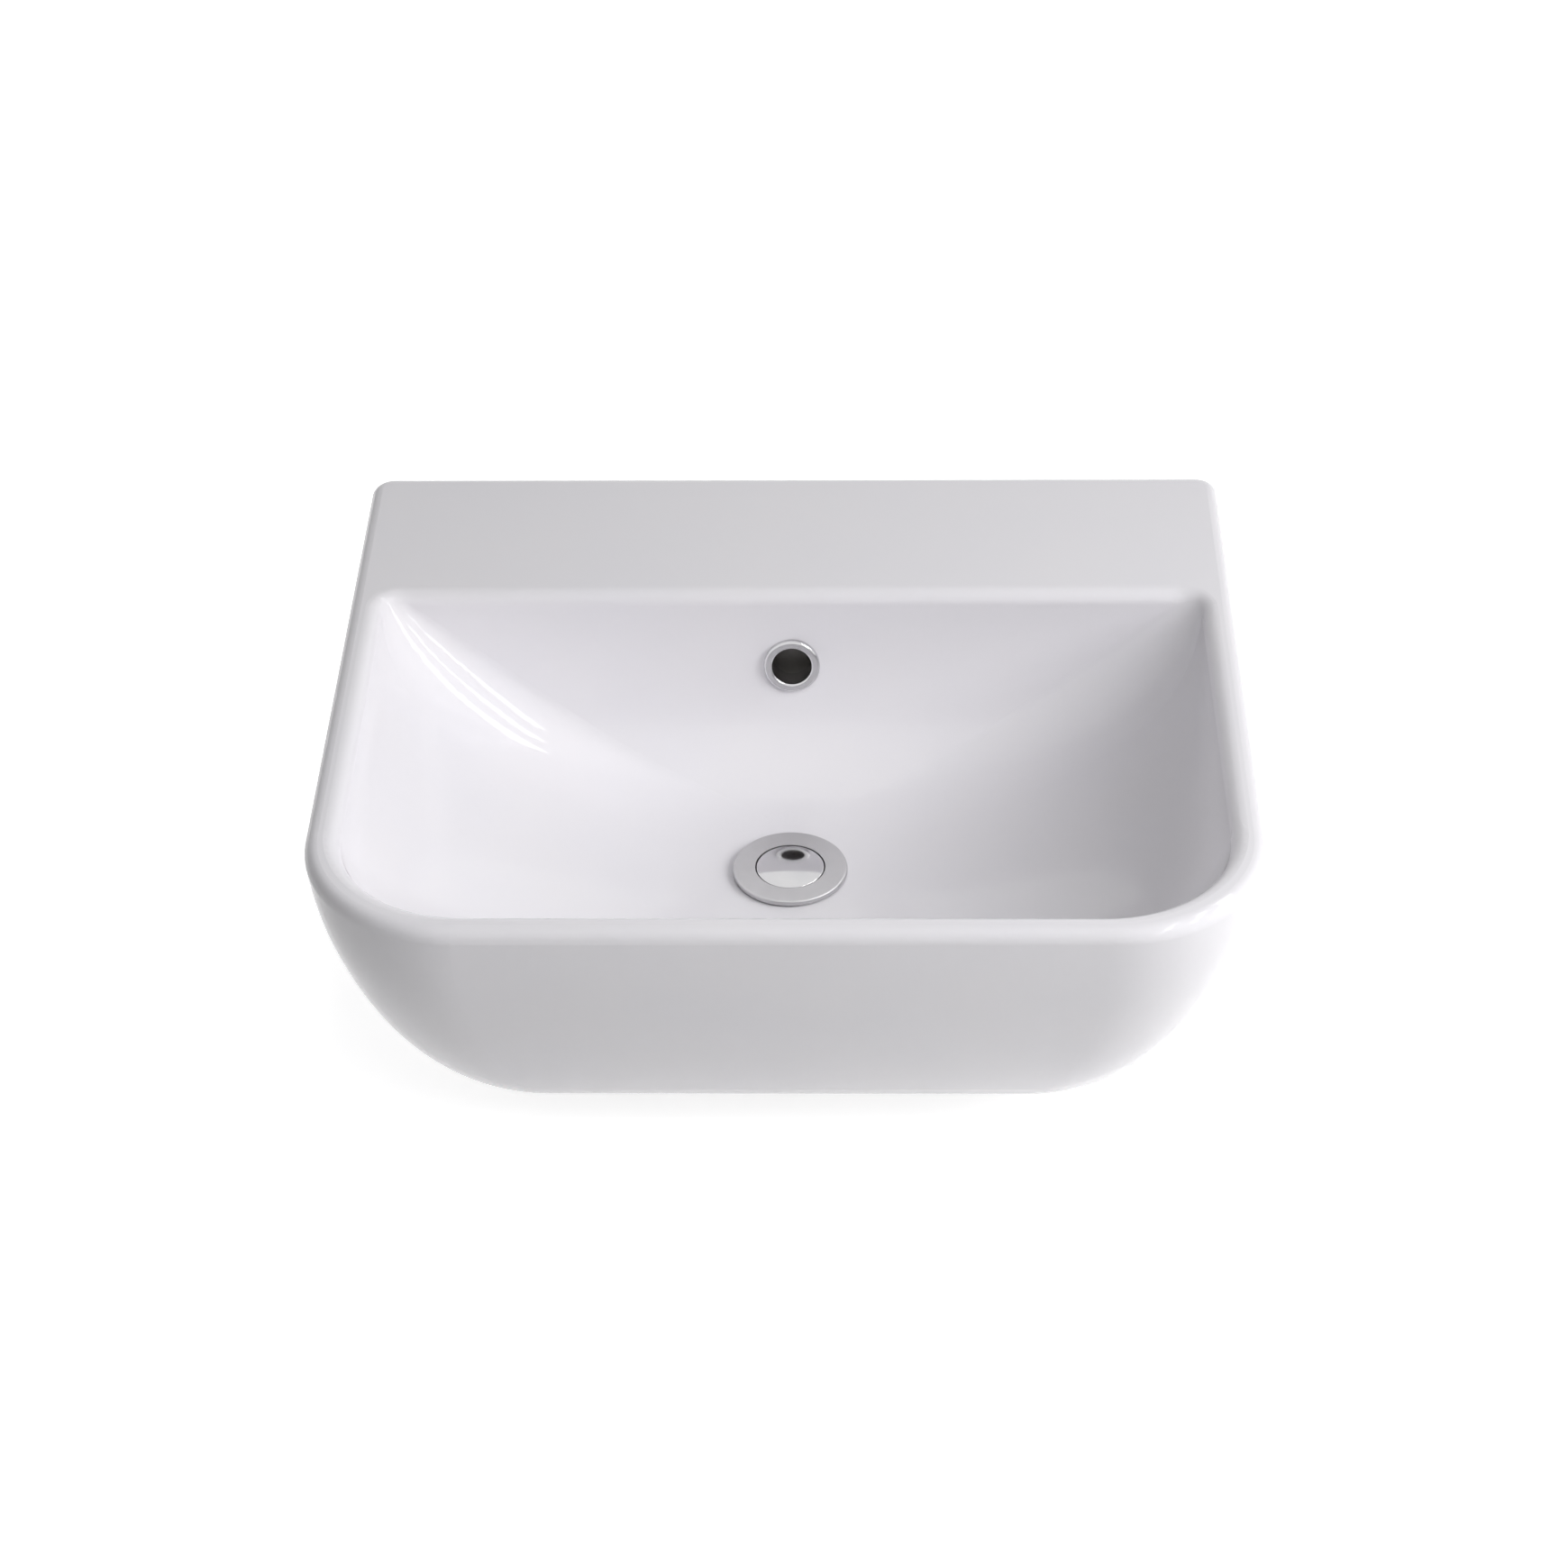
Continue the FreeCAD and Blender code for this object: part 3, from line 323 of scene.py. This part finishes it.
# The tail's skin is drawn in to the thread's root. Elsewhere the smooth shading of the casting is kept.
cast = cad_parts["waste_body"].data
shell = bmesh.new()
shell.from_mesh(cast)
shading = shell.loops.layers.float_vector.new("shading")
for loop, normal in zip((loop for face in shell.faces for loop in face.loops), cast.corner_normals):
    loop[shading] = normal.vector
bmesh.ops.remove_doubles(shell, verts=shell.verts, dist=merge_gap)
for corner in shell.verts:
    out = corner.co - axis
    out.z = 0
    if corner.co.z < thread_top and out.length > tail_skin:
        corner.co -= out * (1 - thread_root / out.length)
        for loop in (loop for face in corner.link_faces for loop in face.loops):
            loop[shading] = (0, 0, 0)
shell.normal_update()
ridges = bmesh.new()
ridges.from_mesh(thread)
bmesh.ops.recalc_face_normals(ridges, faces=ridges.faces)
ridges.to_mesh(thread)
ridges.free()
shell.from_mesh(thread)
waste_mesh = bpy.data.meshes.new("threaded_waste")
shell.to_mesh(waste_mesh)
shell.free()
waste_mesh.materials.append(satin)
waste_mesh.shade_smooth()
waste_mesh.set_sharp_from_angle(angle=casting_crease)
waste_mesh.normals_split_custom_set([corner.vector for corner in waste_mesh.attributes["shading"].data])
waste_mesh.attributes.remove(waste_mesh.attributes["shading"])
waste = add_piece("threaded_waste", waste_mesh)
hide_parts("waste_body")
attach(waste, "basin")


# Seals and nut of the waste: rubber rings moulded to shape above and below the ceramic, a stamped
# nylon washer that lets the nut turn, and a hexagon backnut turned from brass bar.

dress(rubber, "flange_gasket", "tail_seal")

nylon_cream = (0.79, 0.775, 0.72)
nylon_clear = (0.72, 0.70, 0.635)
nylon = grained_finish("natural_nylon", nylon_cream, nylon_clear, metallic=0,
                       Cloud_Scale=90.0, Grain_Scale=700.0,
                       Least_Rough=0.32, Most_Rough=0.5, Relief=1.5e-5)
dress(nylon, "slip_washer")

# Turned metal keeps the tool's fine rings about the outlet's axis, as height and as distance from it.
turned_lines, given, gives = new_group(
    "turned_lines",
    {"Lines": 2500.0, "Depth": 4e-6},
    {"Ring": "NodeSocketFloat", "Normal": "NodeSocketVector"})
tree = turned_lines
from_axis = add_node(tree, "ShaderNodeVectorMath", {"operation": "SUBTRACT"}, in0=given["Place"], in1=axis)
parts = add_node(tree, "ShaderNodeSeparateXYZ", in0=from_axis.outputs[0]).outputs
radius = math_node(tree, "SQRT", math_node(tree, "ADD", math_node(tree, "POWER", parts[0], 2.0),
                                           math_node(tree, "POWER", parts[1], 2.0)))
travel = math_node(tree, "MULTIPLY", math_node(tree, "ADD", radius, parts[2]), given["Lines"])
rings = add_node(tree, "ShaderNodeTexNoise", {"noise_dimensions": "1D"}, W=travel, Scale=1.0, Detail=2.0)
cut = add_node(tree, "ShaderNodeBump", Height=rings.outputs[0], Distance=given["Depth"])
tree.links.new(rings.outputs[0], gives["Ring"])
tree.links.new(cut.outputs[0], gives["Normal"])

brass_bright = (0.74, 0.555, 0.27)
brass_dull = (0.60, 0.43, 0.20)
brass, tree, shader, place = new_material("turned_brass", brass_bright)
grain = use_group(tree, fine_grain, place["Object"], Cloud_Scale=110.0, Grain_Scale=800.0,
                  Least_Rough=0.18, Most_Rough=0.36, Relief=4e-6)
lines = use_group(tree, turned_lines, place["Object"], Lines=2600.0, Depth=5e-6)
tarnish = math_node(tree, "MULTIPLY", grain["Cloud"], lines["Ring"])
colour = blend_colours(tree, tarnish, brass_bright, brass_dull)
lay_finish(tree, shader, colour, grain["Roughness"], lines["Normal"])
shader.inputs["Metallic"].default_value = 1
dress(brass, "backnut")


# Click-clack cartridge: a brass barrel through the waste's spider, clamped by a thin locknut, with a
# screwed cap that holds a wiper ring above and a screwed end below.

dress(brass, "cartridge_barrel", "cartridge_cap", "cartridge_locknut", "cartridge_end")
dress(rubber, "stem_wiper")


# Plunger: a brass stem with a zigzag track round its drum, pushed up by a coil spring of steel wire.
# Two steel balls run in the track, held in an acetal ring that turns a quarter at each press.

dress(brass, "plug_stem")

steel_bright = (0.63, 0.63, 0.64)
steel_drawn = (0.5, 0.5, 0.515)
steel = grained_finish("spring_steel", steel_bright, steel_drawn, metallic=1,
                       Cloud_Scale=260.0, Grain_Scale=2200.0,
                       Least_Rough=0.14, Most_Rough=0.3, Relief=2e-6)
dress(steel, "follower_balls")

# The spring's foot stays on the cartridge's end and its head moves with the stem. A merged copy of it
# takes its place, shaded smooth.
wire_crease = math.radians(40)
wire = bmesh.new()
wire.from_mesh(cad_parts["return_spring"].data)
bmesh.ops.remove_doubles(wire, verts=wire.verts, dist=merge_gap)
coil_mesh = bpy.data.meshes.new("return_coil")
wire.to_mesh(coil_mesh)
wire.free()
coil_mesh.materials.append(steel)
coil_mesh.shade_smooth()
coil_mesh.set_sharp_from_angle(angle=wire_crease)
coil = add_piece("return_coil", coil_mesh)
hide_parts("return_spring")
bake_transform(coil)

acetal_white = (0.84, 0.84, 0.815)
acetal_flow = (0.79, 0.79, 0.76)
acetal = grained_finish("white_acetal", acetal_white, acetal_flow, metallic=0,
                        Cloud_Scale=180.0, Grain_Scale=1400.0,
                        Least_Rough=0.26, Most_Rough=0.4, Relief=6e-6)
dress(acetal, "follower_ring")


# Plug: a domed cap spun from brass, polished and chrome plated, on the stem's thread with a thin jam
# nut under it. The ring in its groove closes the waste.

dress(chrome, "plug_cap")
dress(rubber, "plug_seal")
dress(brass, "plug_jam_nut")


# Studio: a plain pale floor under the tail and a white room about it. Soft key, side, fill and back lamps
# light the basin without a mirror image. Three strip lamps at the right are seen only as reflections,
# which run down the bowl's left back corner.

def seen_directly(tree):
    """1 where the camera looks straight at the surface, or sees it in metal or through glass."""
    path = tree.nodes.new("ShaderNodeLightPath").outputs
    straight = math_node(tree, "MAXIMUM", path["Is Camera Ray"], path["Is Glossy Ray"])
    return math_node(tree, "MAXIMUM", straight, path["Is Transmission Ray"])


floor_reach = 6
floor_grey = 0.8
floor_level = cad_box[0].z
paling_start, paling_end = 0.5, 1.6
floor_mesh = bpy.data.meshes.new("floor")
corners = [(x, y, floor_level) for x, y in ((-1, -1), (1, -1), (1, 1), (-1, 1))]
floor_mesh.from_pydata([(x * floor_reach, y * floor_reach, z) for x, y, z in corners], [], [(0, 1, 2, 3)])
floor = add_piece("floor", floor_mesh)
floor_paint = bpy.data.materials.new("floor_paint")
floor_paint.use_nodes = True
tree = floor_paint.node_tree
# Away from the basin the floor goes over into the white of the room, so that it has no horizon.
place = tree.nodes.new("ShaderNodeTexCoord").outputs["Object"]
away = add_node(tree, "ShaderNodeVectorMath", {"operation": "LENGTH"}, in0=place).outputs["Value"]
paling = add_node(tree, "ShaderNodeMapRange", Value=away, From_Min=paling_start, From_Max=paling_end,
                  To_Min=floor_grey, To_Max=1.0)
glow = math_node(tree, "MULTIPLY", seen_directly(tree), paling.outputs[0])
white = add_node(tree, "ShaderNodeEmission", Strength=glow)
matt = add_node(tree, "ShaderNodeBsdfDiffuse", Color=(floor_grey, floor_grey, floor_grey, 1))
paint = add_node(tree, "ShaderNodeAddShader", in0=matt.outputs[0], in1=white.outputs[0])
tree.links.new(paint.outputs[0], tree.nodes["Material Output"].inputs["Surface"])
floor_mesh.materials.append(floor_paint)

scene = bpy.context.scene
room_glow = 0.07
world = bpy.data.worlds.new("studio")
world.use_nodes = True
scene.world = world
tree = world.node_tree
room = add_node(tree, "ShaderNodeBackground", Color=(1, 1, 1, 1), Strength=room_glow)
backdrop = add_node(tree, "ShaderNodeBackground", Color=(1, 1, 1, 1), Strength=1.0)
studio = add_node(tree, "ShaderNodeMixShader", in0=seen_directly(tree), in1=room.outputs[0],
                  in2=backdrop.outputs[0])
tree.links.new(studio.outputs[0], tree.nodes["World Output"].inputs["Surface"])


def direction(azimuth, elevation):
    """The way from the bowl to a place in the room; azimuth 0 is towards the front and 90 to the right."""
    turn = math.radians(azimuth)
    rise = math.radians(elevation)
    return Vector((math.sin(turn) * math.cos(rise), -math.cos(turn) * math.cos(rise), math.sin(rise)))


bowl_middle = Vector((0, -0.22, 0))


def add_lamp(name, start, end, distance, width, watts, mirrored):
    """A long flat lamp that faces the bowl, its ends seen from the bowl at start and end."""
    first = distance * direction(*start)
    last = distance * direction(*end)
    light = bpy.data.lights.new(name, "AREA")
    light.shape = "RECTANGLE"
    light.size = (last - first).length
    light.size_y = width
    light.energy = watts
    lamp = bpy.data.objects.new(name, light)
    along = (last - first).normalized()
    back = (first + last).normalized()
    turned = Matrix((along, back.cross(along), back)).transposed()
    lamp.matrix_world = Matrix.Translation(bowl_middle + (first + last) / 2) @ turned.to_4x4()
    lamp.visible_glossy = mirrored
    lamp.visible_diffuse = not mirrored
    scene.collection.objects.link(lamp)


add_lamp("key", start=(40, 30), end=(72, 30), distance=2.2, width=1.2, watts=14.5, mirrored=False)
add_lamp("side", start=(60, 33), end=(102, 33), distance=2.4, width=1.35, watts=25.5, mirrored=False)
add_lamp("fill", start=(-16, 61), end=(16, 61), distance=1.6, width=0.9, watts=6.8, mirrored=False)
add_lamp("back", start=(165, 6), end=(225, 6), distance=2.4, width=0.5, watts=18, mirrored=False)
add_lamp("upper_strip", start=(35, 22), end=(80, 62), distance=2, width=0.1, watts=2.6, mirrored=True)
add_lamp("middle_strip", start=(58, 30), end=(115, 59), distance=2, width=0.1, watts=2.4, mirrored=True)
add_lamp("lower_strip", start=(75, 25), end=(138, 53), distance=2, width=0.17, watts=4.4, mirrored=True)

sensor_mm = 36
lens_mm = 86
camera_place = (0.0394, -1.8843, 1.237)
camera_data = bpy.data.cameras.new("camera")
camera_data.sensor_width = sensor_mm
camera_data.lens = lens_mm
camera = bpy.data.objects.new("camera", camera_data)
yaw = math.radians(-1.467)
pitch = math.radians(36.793)
roll = math.radians(-0.885)
forward = Vector((math.sin(yaw) * math.cos(pitch), math.cos(yaw) * math.cos(pitch), -math.sin(pitch)))
level_right = Vector((math.cos(yaw), -math.sin(yaw), 0))
level_up = level_right.cross(forward)
right = math.cos(roll) * level_right + math.sin(roll) * level_up
up = math.cos(roll) * level_up - math.sin(roll) * level_right
turned = Matrix((right, up, -forward)).transposed()
camera.matrix_world = Matrix.Translation(camera_place) @ turned.to_4x4()
scene.collection.objects.link(camera)
scene.camera = camera
scene.view_settings.view_transform = "Standard"
